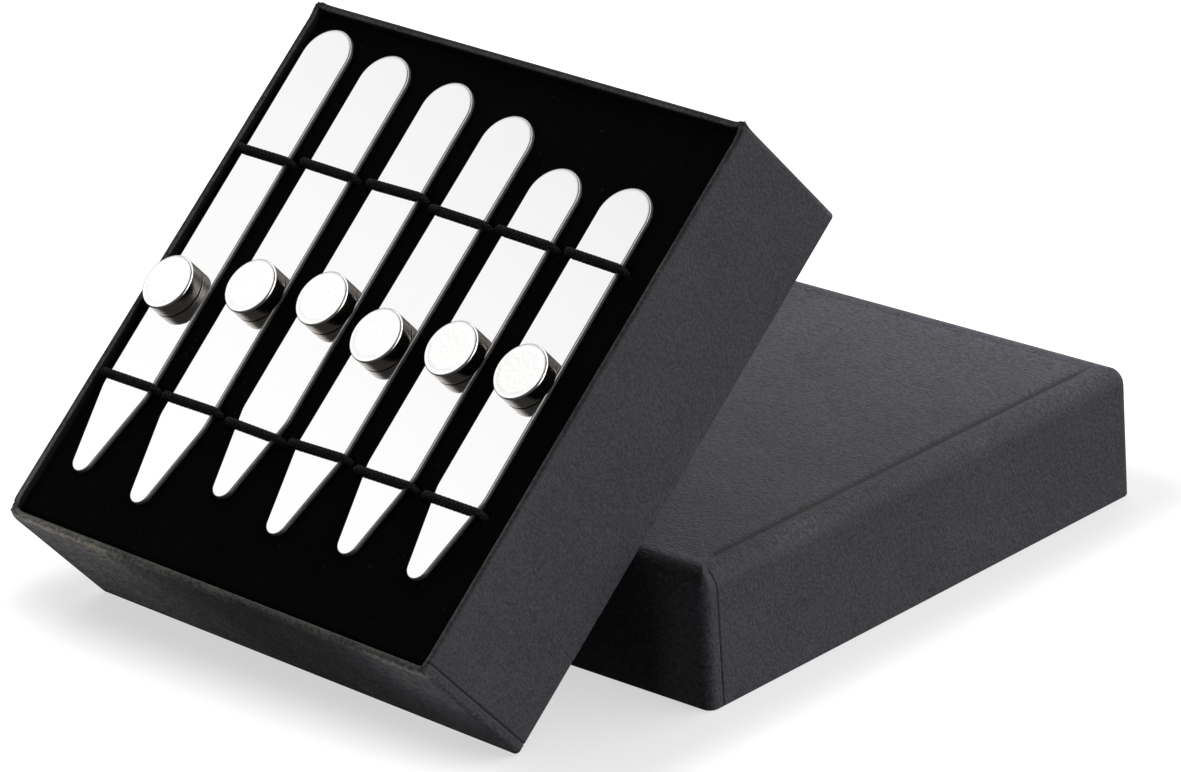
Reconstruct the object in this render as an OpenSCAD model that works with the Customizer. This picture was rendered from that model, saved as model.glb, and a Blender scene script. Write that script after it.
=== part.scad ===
// Boxed set of magnetic collar stays: three pairs held by two elastic rows on a velvet pad in a
// square board tray, with the tray leaning on its own lid. Millimetres, +Z up.
// Local frame of the tray: x across, y up the slope, z out of its open face, with the origin at
// the middle of the back edge that stands on the floor.

/* [Tray] */
// Outer side of the square tray
tray_side = 89; // [89:0.5:90]
// Depth of the tray from its back to its rim
tray_depth = 24.4; // [22:0.2:28]
// Thickness of the tray's board walls
tray_wall = 1.0; // [0.8:0.1:1]
// Thickness of the tray's floor
tray_floor = 1.6; // [1.2:0.1:2]
// Radius of the tray's four folded corners
tray_corner_r = 0.8; // [0.4:0.1:1]

/* [Lid] */
// Outer side of the square lid
lid_side = 93; // [93:0.5:96]
// Height of the lid
lid_height = 20.8; // [18:0.2:24]
// Thickness of the lid's board
lid_wall = 1.4; // [1.2:0.1:1.6]
// Rounding where the top turns down into the walls
lid_edge_r = 3.2; // [1:0.1:4]
// Radius of the lid's four upright corners
lid_corner_r = 1.6; // [0.8:0.1:2]

/* [Pose] */
// Slope of the tray's face above the floor, in degrees
tray_lean = 41.4; // [36:0.2:48]
// Turn of the tray against the lid, seen from above, in degrees
tray_turn = 2.8; // [0:0.1:4]
// How far the tray's middle stands beside the lid's middle
tray_shift = 10.4; // [4:0.2:12]
// Clearance between the tray's back and the lid's edge that carries it
rest_gap = 0.1; // [0.05:0.05:0.3]

/* [Velvet pad] */
// How far the pad's face lies below the rim
pad_recess = 1.0; // [0.6:0.1:2]
// Clearance round the pad
pad_gap = 0.15; // [0.1:0.05:0.2]

/* [Stays] */
// Width of every stay
stay_width = 9.4; // [9:0.1:9.5]
// Thickness of the steel
stay_thick = 0.8; // [0.5:0.1:1]
// Length of the two long stays
long_stay = 76.2; // [74:0.2:78]
// Length of the two middle stays
middle_stay = 69.9; // [68:0.1:72]
// Length of the two short stays
short_stay = 63.5; // [62:0.1:66]
// Length of the tapered end, from the shoulder to the tip
stay_taper = 14.2; // [12:0.2:16]
// Radius of the tip
tip_r = 1.9; // [1.2:0.1:2.4]

/* [Magnets] */
// Diameter of a disc magnet
magnet_d = 8.9; // [8:0.1:9]
// Thickness of a disc magnet
magnet_thick = 2.6; // [2:0.1:3.2]
// Rounding of its edges
magnet_edge_r = 0.4; // [0.2:0.05:0.6]

/* [Elastic] */
// Diameter of the round elastic cord
cord_d = 1.16; // [0.9:0.02:1.2]
// Bend of the cord where it turns down beside a stay
bend_r = 0.75; // [0.7:0.05:0.8]
// Bend of the cord inside the pad
under_r = 0.9; // [0.7:0.05:1]
// How deep the cord runs inside the pad
cord_dive = 4; // [3:0.5:8]
// Clearance of the holes round the cord
hole_gap = 0.2; // [0.15:0.05:0.25]
// How much narrower a slot is than the two holes that it joins
slot_pinch = 0.16; // [0.08:0.02:0.24]

/* [Hidden] */

// Seat left between two pieces that touch
seat = 0.04;
// Smoothness of round walls, of the cord, and of a quarter bend
$fn = 64;
cord_sides = 8;
bend_steps = 3;
// Overshoot of a cutting solid
cut = 1;

// One row for each stay, left to right. Places are measured from the middle of the tray's face,
// and angles are in degrees, positive where the right end is higher.
LENGTH = 0;
MID_X = 1;
MID_Y = 2;
TURN = 3;
MAGNET_X = 4;
MAGNET_Y = 5;
UPPER_Y = 6;
UPPER_TILT = 7;
LOWER_Y = 8;
LOWER_TILT = 9;
STAYS = [
    // length, mid x, mid y, turn, magnet x, magnet y, upper y, upper tilt, lower y, lower tilt
    [long_stay, -36.8, 3.1, 0.7, -38.0, -4.5, 19.2, 0.2, -19.7, 0.5],
    [long_stay, -23.1, 1.7, 1.1, -22.4, -1.1, 19.9, -0.4, -19.9, 0.8],
    [middle_stay, -8.9, 3.6, 0.9, -8.3, 0.5, 20.0, 1.3, -20.5, -0.5],
    [middle_stay, 4.8, 1.3, 0.1, 5.1, -2.1, 19.0, -0.6, -20.1, 2.0],
    [short_stay, 18.7, -1.0, 0.6, 19.3, -0.4, 19.0, -0.8, -20.6, 1.2],
    [short_stay, 32.7, -0.8, 0.7, 33.3, -0.4, 18.9, -1.0, -20.8, 0.3],
];

// Heights above the tray's back
pad_top = tray_depth - pad_recess;
stay_base = pad_top + seat;
stay_top = stay_base + stay_thick;
cord_r = cord_d / 2;
cord_over = stay_top + seat + cord_r;
cord_under = pad_top - cord_dive;
// Distance of a cord's hole from the middle of its stay
hole_x = stay_width / 2 + seat + bend_r;
hole_d = cord_d + 2 * hole_gap;
slot_w = hole_d - slot_pinch;
hole_floor = cord_under - cord_r - hole_gap;

// The lid's left wall stands where its rounded top edge meets the tray's sloping back
lid_mid_y = -tray_shift;
lid_end_y = lid_mid_y + lid_side / 2 - lid_corner_r;
edge_run = (lid_edge_r + rest_gap + (lid_height - lid_edge_r) * cos(tray_lean)) / sin(tray_lean);
lid_x = (edge_run + lid_end_y * sin(tray_turn)) / cos(tray_turn) - lid_edge_r;

// Corners of the leaning tray on the floor plan, and the middle of everything on the floor
function slope_run(y, z) = y * cos(tray_lean) - z * sin(tray_lean);
function plan_x(x, run) = -x * sin(tray_turn) + run * cos(tray_turn);
function plan_y(x, run) = -x * cos(tray_turn) - run * sin(tray_turn);
CORNERS = [for (x = [-tray_side / 2, tray_side / 2], y = [0, tray_side], z = [0, tray_depth])
    [plan_x(x, slope_run(y, z)), plan_y(x, slope_run(y, z))]];
min_x = min([for (p = CORNERS) p.x]);
max_x = max(max([for (p = CORNERS) p.x]), lid_x + lid_side);
min_y = min(min([for (p = CORNERS) p.y]), lid_mid_y - lid_side / 2);
max_y = max(max([for (p = CORNERS) p.y]), lid_mid_y + lid_side / 2);
centre = [(min_x + max_x) / 2, (min_y + max_y) / 2, 0];

// Frames
module on_floor() {
    translate(-centre) children();
}

module in_tray() {
    on_floor() rotate([0, 0, -90 - tray_turn]) rotate([tray_lean, 0, 0]) children();
}

module on_face() {
    in_tray() translate([0, tray_side / 2, 0]) children();
}

// Square with round corners, about its middle
module rounded_square(side, r) {
    square([side - 2 * r, side], center = true);
    square([side, side - 2 * r], center = true);
    for (x = [-1, 1], y = [-1, 1]) {
        translate([x, y] * (side / 2 - r)) circle(r);
    }
}

// Front view of the lid: flat foot, round shoulders
module lid_front() {
    translate([-lid_side / 2, 0]) square([lid_side, lid_height - lid_edge_r]);
    translate([-lid_side / 2 + lid_edge_r, 0]) square([lid_side - 2 * lid_edge_r, lid_height]);
    for (x = [-1, 1]) {
        translate([x * (lid_side / 2 - lid_edge_r), lid_height - lid_edge_r]) circle(lid_edge_r);
    }
}

module lid_prism() {
    rotate([90, 0, 0]) linear_extrude(lid_side, center = true) lid_front();
}

// Tray: an open board box
module box_tray() {
    inner = tray_side - 2 * tray_wall;
    color([0.20, 0.20, 0.22]) on_face() difference() {
        linear_extrude(tray_depth) rounded_square(tray_side, tray_corner_r);
        translate([0, 0, tray_floor]) linear_extrude(tray_depth) rounded_square(inner, tray_corner_r / 2);
    }
}

// Lid: a shallow board box, open side down, with rounded top edges and corners
module box_lid() {
    inner = lid_side - 2 * lid_wall;
    hollow = lid_height - lid_wall;
    color([0.22, 0.22, 0.24]) on_floor() translate([lid_x + lid_side / 2, lid_mid_y, 0]) difference() {
        intersection() {
            lid_prism();
            rotate([0, 0, 90]) lid_prism();
            linear_extrude(lid_height) rounded_square(lid_side, lid_corner_r);
        }
        translate([0, 0, -cut]) linear_extrude(hollow + cut) rounded_square(inner, lid_corner_r / 2);
    }
}

// Where the cord of one row crosses a stay: the hole on its left or right side
function hole_at(stay, side, col_y, col_tilt) = [
    stay[MID_X] - (stay[col_y] - stay[MID_Y]) * sin(stay[TURN]) + side * hole_x,
    stay[col_y] + side * hole_x * tan(stay[col_tilt]),
];

// Plan of the pad's hole for one leg of a cord
module cord_hole(p) {
    translate(p) circle(d = hole_d);
}

// Plan of the pad's slot for the cord that runs from one stay to the next: two holes and a link
module cord_slot(a, b) {
    span = b - a;
    cord_hole(a);
    cord_hole(b);
    translate(a) rotate(atan2(span.y, span.x)) translate([0, -slot_w / 2]) square([norm(span), slot_w]);
}

// Plan of one row's openings: a hole beyond each end, and a slot between every two stays
module cord_row_slots(col_y, col_tilt) {
    last = len(STAYS) - 1;
    cord_hole(hole_at(STAYS[0], -1, col_y, col_tilt));
    cord_hole(hole_at(STAYS[last], 1, col_y, col_tilt));
    for (i = [1:last]) {
        cord_slot(hole_at(STAYS[i - 1], 1, col_y, col_tilt), hole_at(STAYS[i], -1, col_y, col_tilt));
    }
}

// Pad: a velvet-covered block that fills the tray, pierced for the elastic
module velvet_pad() {
    side = tray_side - 2 * tray_wall - 2 * pad_gap;
    base = tray_floor + seat;
    color([0.03, 0.03, 0.035]) on_face() difference() {
        translate([0, 0, base]) linear_extrude(pad_top - base) rounded_square(side, tray_corner_r / 2);
        translate([0, 0, hole_floor]) linear_extrude(tray_depth) {
            cord_row_slots(UPPER_Y, UPPER_TILT);
            cord_row_slots(LOWER_Y, LOWER_TILT);
        }
    }
}

// Outline of a stay about its middle: round top, straight sides, taper to a small round tip
module stay_outline(length) {
    r = stay_width / 2;
    tip_y = tip_r - length / 2;
    shoulder_y = stay_taper - length / 2;
    top_y = length / 2 - r;
    slant = asin((r - tip_r) / (shoulder_y - tip_y));
    wide = r * [cos(slant), -sin(slant)];
    narrow = tip_r * [cos(slant), -sin(slant)];
    translate([0, top_y]) circle(r);
    translate([-r, shoulder_y]) square([2 * r, top_y - shoulder_y]);
    translate([0, shoulder_y]) circle(r);
    polygon([[-wide.x, shoulder_y + wide.y], [-narrow.x, tip_y + narrow.y],
             [narrow.x, tip_y + narrow.y], [wide.x, shoulder_y + wide.y]]);
    translate([0, tip_y]) circle(tip_r);
}

module collar_stay(i) {
    stay = STAYS[i - 1];
    color([0.88, 0.88, 0.90]) on_face() translate([stay[MID_X], stay[MID_Y], stay_base])
        rotate([0, 0, stay[TURN]]) linear_extrude(stay_thick) stay_outline(stay[LENGTH]);
}

// Disc magnet with rounded edges, turned from its half section
module magnet(i) {
    stay = STAYS[i - 1];
    r = magnet_d / 2;
    e = magnet_edge_r;
    color([0.75, 0.75, 0.78]) on_face() translate([stay[MAGNET_X], stay[MAGNET_Y], stay_top + seat])
        rotate_extrude() {
            square([r - e, magnet_thick]);
            translate([0, e]) square([r, magnet_thick - 2 * e]);
            for (y = [e, magnet_thick - e]) {
                translate([r - e, y]) circle(e);
            }
        }
}

// Corner points of one elastic row: down, across and up again at every stay
function row_corners(col_y, col_tilt) = [
    for (stay = STAYS, step = [[-1, cord_under], [-1, cord_over], [1, cord_over], [1, cord_under]])
        concat(hole_at(stay, step[0], col_y, col_tilt), step[1])
];

// A quarter bend at corner b of the way from a to c
function unit(v) = v / norm(v);
function bend(a, b, c, r) =
    let (u = unit(a - b), v = unit(c - b), open = acos(u * v),
         mid = b + unit(u + v) * r / sin(open / 2), start = b + u * r / tan(open / 2) - mid)
    [for (k = [0:bend_steps])
        let (t = (180 - open) * k / bend_steps) mid + start * cos(t) - u * r * sin(t)];

// The whole route of one row, every corner rounded
function row_route(q) = [
    q[0],
    for (i = [1:len(q) - 2]) each bend(q[i - 1], q[i], q[i + 1], q[i].z > pad_top ? bend_r : under_r),
    q[len(q) - 1],
];

// A round tube swept along a route that stays near the x-z plane
module swept_tube(route, r) {
    n = len(route);
    points = [for (i = [0:n - 1])
        let (ahead = route[min(i + 1, n - 1)], behind = route[max(i - 1, 0)], along = unit(ahead - behind),
             side = unit(cross(along, [0, 1, 0])), up = cross(side, along))
        for (k = [0:cord_sides - 1])
            route[i] + r * (cos(k * 360 / cord_sides) * side + sin(k * 360 / cord_sides) * up)];
    walls = [for (i = [0:n - 2], k = [0:cord_sides - 1])
        let (next = (k + 1) % cord_sides)
        [i * cord_sides + k, i * cord_sides + next, (i + 1) * cord_sides + next, (i + 1) * cord_sides + k]];
    start_cap = [for (k = [0:cord_sides - 1]) cord_sides - 1 - k];
    end_cap = [for (k = [0:cord_sides - 1]) (n - 1) * cord_sides + k];
    polyhedron(points, concat([start_cap], walls, [end_cap]));
}

module elastic(col_y, col_tilt) {
    color([0.13, 0.12, 0.12]) on_face() swept_tube(row_route(row_corners(col_y, col_tilt)), cord_r);
}

box_tray();
box_lid();
velvet_pad();
collar_stay(1);  // collar_stay_1
collar_stay(2);  // collar_stay_2
collar_stay(3);  // collar_stay_3
collar_stay(4);  // collar_stay_4
collar_stay(5);  // collar_stay_5
collar_stay(6);  // collar_stay_6
magnet(1);  // magnet_1
magnet(2);  // magnet_2
magnet(3);  // magnet_3
magnet(4);  // magnet_4
magnet(5);  // magnet_5
magnet(6);  // magnet_6
elastic(UPPER_Y, UPPER_TILT);  // elastic_upper
elastic(LOWER_Y, LOWER_TILT);  // elastic_lower
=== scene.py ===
# %% [markdown]
# # A boxed set of magnetic collar stays
# Six polished steel stays lie on a black velvet pad. A disc magnet sits on each, and two rows of
# elastic hold them down. The pad fills a tray of paper-wrapped board, which leans on its own lid.
# The construction comes in as a fixed frame of plain solids. This lesson dresses them one by one:
# each new piece is measured from the solid that it stands for, so nothing is fitted afterwards.

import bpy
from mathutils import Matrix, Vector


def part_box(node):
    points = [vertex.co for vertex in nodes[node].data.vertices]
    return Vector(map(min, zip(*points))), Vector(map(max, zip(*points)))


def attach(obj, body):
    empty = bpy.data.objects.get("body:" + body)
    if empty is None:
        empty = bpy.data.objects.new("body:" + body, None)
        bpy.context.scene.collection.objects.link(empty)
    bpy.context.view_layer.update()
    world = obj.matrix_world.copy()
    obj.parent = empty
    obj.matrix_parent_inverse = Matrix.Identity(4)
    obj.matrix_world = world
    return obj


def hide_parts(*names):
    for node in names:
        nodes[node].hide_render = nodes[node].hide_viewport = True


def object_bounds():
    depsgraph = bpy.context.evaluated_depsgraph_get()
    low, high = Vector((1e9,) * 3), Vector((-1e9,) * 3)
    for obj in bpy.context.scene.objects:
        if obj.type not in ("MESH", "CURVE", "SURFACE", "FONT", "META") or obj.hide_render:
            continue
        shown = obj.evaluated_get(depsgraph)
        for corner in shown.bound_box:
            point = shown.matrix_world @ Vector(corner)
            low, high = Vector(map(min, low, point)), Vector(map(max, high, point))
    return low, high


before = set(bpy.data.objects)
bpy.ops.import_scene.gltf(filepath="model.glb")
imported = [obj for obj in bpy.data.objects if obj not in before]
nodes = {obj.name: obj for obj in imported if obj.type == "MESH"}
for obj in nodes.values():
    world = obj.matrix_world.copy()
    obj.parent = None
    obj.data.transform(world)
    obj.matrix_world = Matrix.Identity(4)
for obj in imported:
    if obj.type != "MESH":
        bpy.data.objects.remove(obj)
cad_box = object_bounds()
print("frame:", len(nodes), "solids, from", list(cad_box[0]), "to", list(cad_box[1]))

# %% [markdown]
# ## The camera
# A small product is shot from well back with a long lens, so that its parallel edges stay nearly
# parallel. The camera could be aimed at the object by eye, but here its angles were solved from the
# box's straight edges, so they are written as real angles and a real distance. Three axes are
# worked out from them, and the small roll tips the picture as the photographer did.

# %% Place the camera
from math import asin, atan2, cos, degrees, exp, hypot, pi, radians, sin, tan

import bpy
from mathutils import Matrix, Vector, noise

MM = 0.001
PHOTO_WIDTH = 1181
FOCAL_PIXELS = 6255
SENSOR = 36
AZIMUTH = radians(44.61)
ELEVATION = radians(22.21)
ROLL = radians(3.87)
DISTANCE = 904.9 * MM
AIM = Vector((0, 0, 30)) * MM
SHIFT_RIGHT = 4.71 * MM
SHIFT_UP = -1.85 * MM

ahead = Vector((cos(ELEVATION) * cos(AZIMUTH), cos(ELEVATION) * sin(AZIMUTH), -sin(ELEVATION)))
level = Vector((sin(AZIMUTH), -cos(AZIMUTH), 0))
upright = level.cross(ahead)
eye = AIM + level * SHIFT_RIGHT + upright * SHIFT_UP - ahead * DISTANCE
image_right = level * cos(ROLL) - upright * sin(ROLL)
image_up = level * sin(ROLL) + upright * cos(ROLL)

camera = bpy.data.objects.new("camera", bpy.data.cameras.new("camera"))
bpy.context.scene.collection.objects.link(camera)
camera_turn = Matrix((image_right, image_up, -ahead)).transposed().to_4x4()
camera.matrix_world = Matrix.Translation(eye) @ camera_turn
camera.data.sensor_width = SENSOR
camera.data.lens = SENSOR * FOCAL_PIXELS / PHOTO_WIDTH
bpy.context.scene.camera = camera
print("camera: lens", round(camera.data.lens, 1), "mm at", [round(c, 3) for c in eye])

# %% [markdown]
# ## The leaning tray's own axes
# Everything in the tray is easier to make flat: x across the tray, y up the slope and z out of its
# open face. The pieces could then be leant by eye, but the lean and the turn are known angles, and
# where the tray stands can be measured: its solid is turned back flat, and the middle of its back
# gives the origin. One matrix then carries every piece of the tray into place.

# %% Find the tray's axes
LEAN = radians(41.4)
TURN = radians(2.8)

flat_to_lean = Matrix.Rotation(-pi / 2 - TURN, 4, "Z") @ Matrix.Rotation(LEAN, 4, "X")


def points_of(node, axes):
    """A solid's points along other axes, in millimetres."""
    back = axes.inverted()
    return [back @ v.co / MM for v in nodes[node].data.vertices]


def measured(node, axes):
    """Lowest and highest corner of a solid along other axes, in millimetres."""
    points = points_of(node, axes)
    low = Vector([min(p[k] for p in points) for k in range(3)])
    high = Vector([max(p[k] for p in points) for k in range(3)])
    return low, high


def base_middle(low, high):
    """The middle of the lowest face of the box between two corners."""
    return Vector(((low.x + high.x) / 2, (low.y + high.y) / 2, low.z))


tray_low, tray_high = measured("box_tray", flat_to_lean)
tray_axes = flat_to_lean @ Matrix.Translation(base_middle(tray_low, tray_high) * MM)
tray_low, tray_high = measured("box_tray", tray_axes)
TRAY_SIDE = tray_high.x - tray_low.x
TRAY_DEPTH = tray_high.z
print("tray: %.2f mm square, %.2f mm deep" % (TRAY_SIDE, TRAY_DEPTH))

# %% Find the lid's axes
lid_low, lid_high = (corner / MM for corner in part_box("box_lid"))
lid_axes = Matrix.Translation(base_middle(lid_low, lid_high) * MM)
LID_SIDE = lid_high.x - lid_low.x
LID_HEIGHT = lid_high.z
print("lid: %.2f mm square, %.2f mm high" % (LID_SIDE, LID_HEIGHT))

# %% [markdown]
# ## Shader maths
# A finish is a small calculation that runs at every point of a surface. Wiring it by hand takes a
# screenful of nodes, so one small class wraps a socket and lets plain arithmetic add the Math
# nodes. A second class holds the material and adds every other node through one method: its
# settings come first, then the values or links of its sockets.


# %% A value on a surface
class Value:
    """One number, colour or vector that changes over a surface."""

    def __init__(self, finish, socket):
        self.finish = finish
        self.socket = socket

    def out(self, name):
        return Value(self.finish, self.socket.node.outputs[name])

    def __add__(self, other):
        return self.finish.math("ADD", self, other)

    def __radd__(self, other):
        return self.finish.math("ADD", other, self)

    def __sub__(self, other):
        return self.finish.math("SUBTRACT", self, other)

    def __rsub__(self, other):
        return self.finish.math("SUBTRACT", other, self)

    def __mul__(self, other):
        return self.finish.math("MULTIPLY", self, other)

    def __rmul__(self, other):
        return self.finish.math("MULTIPLY", other, self)


# %% A finish, made node by node
class Finish:
    """A material, or the light of a world, in the making."""

    def __init__(self, owner):
        self.owner = owner
        owner.use_nodes = True
        self.tree = owner.node_tree
        self.tree.nodes.clear()

    def node(self, kind, settings, sockets, result=0):
        made = self.tree.nodes.new("ShaderNode" + kind)
        for key, setting in settings.items():
            setattr(made, key, setting)
        for key, value in sockets.items():
            socket = made.inputs[key] if isinstance(key, int) else self.named(made.inputs, key)
            if isinstance(value, Value):
                self.tree.links.new(value.socket, socket)
            else:
                socket.default_value = value
        if result is None:
            return None
        outputs = made.outputs
        return Value(self, outputs[result] if isinstance(result, int) else self.named(outputs, result))

    def named(self, sockets, name):
        return next(s for s in sockets if name in (s.identifier, s.name))

    def math(self, operation, a, b):
        return self.node("Math", {"operation": operation}, {0: a, 1: b})

    def place(self):
        """Where a point lies on its own piece, in metres."""
        return self.node("TexCoord", {}, {}).out("Object")

    def vector(self, operation, a, b=(0, 0, 0), result=0):
        return self.node("VectorMath", {"operation": operation}, {0: a, 1: b}, result)

    def stretched(self, place, x, y, z):
        return self.vector("MULTIPLY", place, (x, y, z))

    def grain(self, place, per_mm, detail=2.0, roughness=0.5):
        """Soft noise from 0 to 1 with that many features in a millimetre."""
        sockets = {"Vector": place, "Scale": per_mm / MM, "Detail": detail, "Roughness": roughness}
        return self.node("TexNoise", {}, sockets)

    def ramp(self, value, low, high):
        """0 below low, 1 above high, and smooth between."""
        sockets = {"Value": value, "From Min": low, "From Max": high}
        return self.node("MapRange", {"interpolation_type": "SMOOTHSTEP"}, sockets)

    def mixed(self, mask, colour_a, colour_b):
        """Colour a where the mask is 0, and colour b where it is 1."""
        sockets = {"Factor_Float": mask}
        for name, colour in (("A_Color", colour_a), ("B_Color", colour_b)):
            sockets[name] = colour if isinstance(colour, Value) else (*colour, 1)
        return self.node("Mix", {"data_type": "RGBA"}, sockets, "Result_Color")

    def mark(self, name):
        """A number that the mesh carries at its points."""
        return self.node("Attribute", {"attribute_name": name}, {}, "Fac")

    def bump(self, height, depth_mm, strength=1.0):
        sockets = {"Height": height, "Distance": depth_mm * MM, "Strength": strength}
        return self.node("Bump", {}, sockets)

    def surface(self, **sockets):
        named = {key.replace("_", " "): value for key, value in sockets.items()}
        shader = self.node("BsdfPrincipled", {}, named)
        self.node("OutputMaterial", {}, {"Surface": shader}, None)
        return self.owner


# %% [markdown]
# ## Making a piece
# Every piece here could be modelled by hand, but a formula can follow the frame's measures. So each
# piece starts as a list of points and a list of faces. One helper turns them into an object, stands
# it on the right axes, gives it its finish and hides the solid that it replaces. Points can carry
# marks, such as how worn an edge is, which the finish reads.


# %% A piece from points and faces
def make_piece(name, points, faces, axes, finish, stands_for, marks=None):
    """A smooth mesh, given in millimetres along the axes, that stands for a solid of the frame."""
    mesh = bpy.data.meshes.new(name)
    mesh.from_pydata([Vector(p) * MM for p in points], [], faces)
    mesh.polygons.foreach_set("use_smooth", [True] * len(mesh.polygons))
    mesh.materials.append(finish)
    for mark, numbers in (marks or {}).items():
        layer = mesh.attributes.new(mark, "FLOAT", "POINT")
        layer.data.foreach_set("value", numbers)
    piece = bpy.data.objects.new(name, mesh)
    bpy.context.scene.collection.objects.link(piece)
    piece.matrix_world = axes
    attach(piece, "root")
    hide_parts(stands_for)
    triangles = sum(len(face) - 2 for face in faces)
    print("%s: %d points, %d triangles" % (name, len(points), triangles))
    return piece


def even_shading(piece):
    """Big flat faces keep their own shading, and only the narrow round ones blend."""
    piece.modifiers.new("even shading", "WEIGHTED_NORMAL")


def ring_faces(rings, count):
    """Faces that join rings of points in turn, with the first and the last ring closed."""
    faces = []
    for ring in range(rings - 1):
        low = ring * count
        high = low + count
        for k in range(count):
            after = (k + 1) % count
            faces.append((low + k, low + after, high + after, high + k))
    faces.append(tuple(reversed(range(count))))
    faces.append(tuple(range((rings - 1) * count, rings * count)))
    return faces


def round_edge(inset, z, radius, start, end, steps):
    """Rows of a section round an edge: 0 degrees faces out of the box and 90 faces up."""
    angles = [radians(start + (end - start) * k / steps) for k in range(steps + 1)]
    return [(inset - radius * cos(a), z + radius * sin(a)) for a in angles]


# %% [markdown]
# ## The paper wrap of a box
# Tray and lid are made the same way in the box maker's shop: board walls, wrapped in one sheet of
# paper. A wall's paper covers the small tabs that come round its corners, so a fine seam runs down
# beside most upright edges. A rounded cube has nowhere to put such a seam. So a section is drawn
# once through a wall, from near the middle of one face to near the middle of the other, and carried
# round the square. Its columns lie close together near the corners, where the seam and the crumpled
# folds need them, and far apart between.

# %% Columns round the square, and the rings that join them
SEAM_FROM_CORNER = 1.0
SEAM_HALF = 0.15
CORNER_STEPS = 10
SPAN_STEPS = 14
NEAR_CORNER = [0, 0.3, 0.6, SEAM_FROM_CORNER - SEAM_HALF, SEAM_FROM_CORNER,
               SEAM_FROM_CORNER + SEAM_HALF, 1.4, 2.0, 3.0]

columns = []
for side in range(4):
    columns += [(side, "start", offset) for offset in NEAR_CORNER]
    columns += [(side, "span", k / SPAN_STEPS) for k in range(1 - SPAN_STEPS, SPAN_STEPS)]
    columns += [(side, "end", offset) for offset in reversed(NEAR_CORNER)]
    columns += [(side, "corner", k / CORNER_STEPS) for k in range(1, CORNER_STEPS)]
print("paper wrap:", len(columns), "columns")


def on_ring(column, half, corner):
    """A column's place on a rounded square, and the direction that faces out of it."""
    side, stretch, value = column
    reach = half - corner
    out = Vector((0, -1, 0))
    if stretch == "corner":
        angle = (value - 1) * pi / 2
        out = Vector((cos(angle), sin(angle), 0))
        spot = Vector((reach, -reach, 0)) + out * corner
    elif stretch == "span":
        spot = Vector((value * (reach - NEAR_CORNER[-1]), -half, 0))
    else:
        spot = Vector((value - reach if stretch == "start" else reach - value, -half, 0))
    quarter = Matrix.Rotation(side * pi / 2, 3, "Z")
    return quarter @ spot, quarter @ out


def corner_distance(column):
    """How far along the wall a column lies from its corner."""
    stretch, value = column[1:]
    return {"corner": 0, "span": NEAR_CORNER[-1] * 2}.get(stretch, value)


SHARPEST = 0.04


def wrapped(side_length, corner_radius, rows, shape):
    """Points and faces of a wrapped box. shape moves a point out and up."""
    points = []
    for inset, z in rows:
        half = side_length / 2 - inset
        for column in columns:
            spot, out = on_ring(column, half, max(corner_radius - inset, SHARPEST))
            push, lift = shape(column, inset, z, spot)
            points.append(spot + out * push + Vector((0, 0, z + lift)))
    return points, ring_faces(len(rows), len(columns))


def marked(rows, mark):
    """A mark's number at every point of a wrapped box."""
    return [mark(column, inset, z) for inset, z in rows for column in columns]


def is_seam(column, seams):
    return column[:2] in seams and column[2] == SEAM_FROM_CORNER


def ripple(spot, per_mm):
    """Smooth noise between -1 and 1, finer as the number of features in a millimetre grows."""
    return noise.noise(spot * per_mm)


# %% [markdown]
# ## Charcoal paper
# The paper is matt and almost black, with a fine pressed grain like pebbled leather and a faint
# run of fibres. Rubbed edges turn olive grey where the dye has gone from the fold. A picture of
# paper could be pasted on, but noise at the grain's real size holds up from any distance. The worn
# edges come from marks on the mesh, broken up by more noise so that no line is even. The wear mark
# also paints a highlight on some rounded edges, and a second mark paints shade, near black, into
# seams, creases, crumples and hollows.


# %% Mix the paper
PAPER_DARK = (0.0165, 0.0155, 0.0195)
PAPER_LIGHT = (0.046, 0.0440, 0.0535)
# Worn paper, and also the colour of the painted highlights on some rounded edges.
PAPER_WORN_AND_HIGHLIT = (0.105, 0.102, 0.091)
# Painted shade: the colour drawn into seams, creases, crumples and hollows.
PAPER_SHADE_PAINTED = (0.004, 0.004, 0.004)


def charcoal_paper(name, fibre_x, fibre_y, pressed):
    """Fibres run along the axis with the smaller factor. pressed is the grain's depth in mm."""
    finish = Finish(bpy.data.materials.new(name))
    place = finish.place()
    fibres = finish.grain(finish.stretched(place, fibre_x, fibre_y, 1), 2.3, 4.0, 0.65)
    pebbles = finish.grain(place, 1.9, 3.0, 0.65)
    patches = finish.grain(place, 0.12, 3.0)
    fleck = fibres * 0.5 + pebbles * 0.4 + patches * 0.1
    tone = finish.mixed(finish.ramp(fleck, 0.37, 0.63), PAPER_DARK, PAPER_LIGHT)
    # The wear mark lightens rubbed paper, and on some edges it paints a highlight.
    worn_and_lit = finish.ramp(finish.mark("wear_and_highlight") + (pebbles - 0.5) * 1.4 + (patches - 0.5) * 0.8, 0.3, 1.0)
    colour = finish.mixed(worn_and_lit, tone, PAPER_WORN_AND_HIGHLIT)
    # The second mark paints shade, near black, into seams, creases, crumples and hollows.
    colour = finish.mixed(finish.ramp(finish.mark("painted_shade"), 0.1, 0.9), colour, PAPER_SHADE_PAINTED)
    height = fibres * 0.5 + pebbles * 0.5
    return finish.surface(Base_Color=colour, Roughness=0.58 + 0.2 * fibres,
                          Normal=finish.bump(height, pressed, 1.0), Specular_IOR_Level=0.3)


# %% [markdown]
# ## The tray
# The tray's wall is drawn from its back, round the bottom edge, up the outside, over the thin rim
# and down inside. Paper that is folded over a rim has too much of itself at the corners, so it
# stands up there in small crumpled pleats. They could be painted as a bump, but they show on the
# outline, so they are real: a few ridges across each corner that fade away down the wall.

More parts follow.
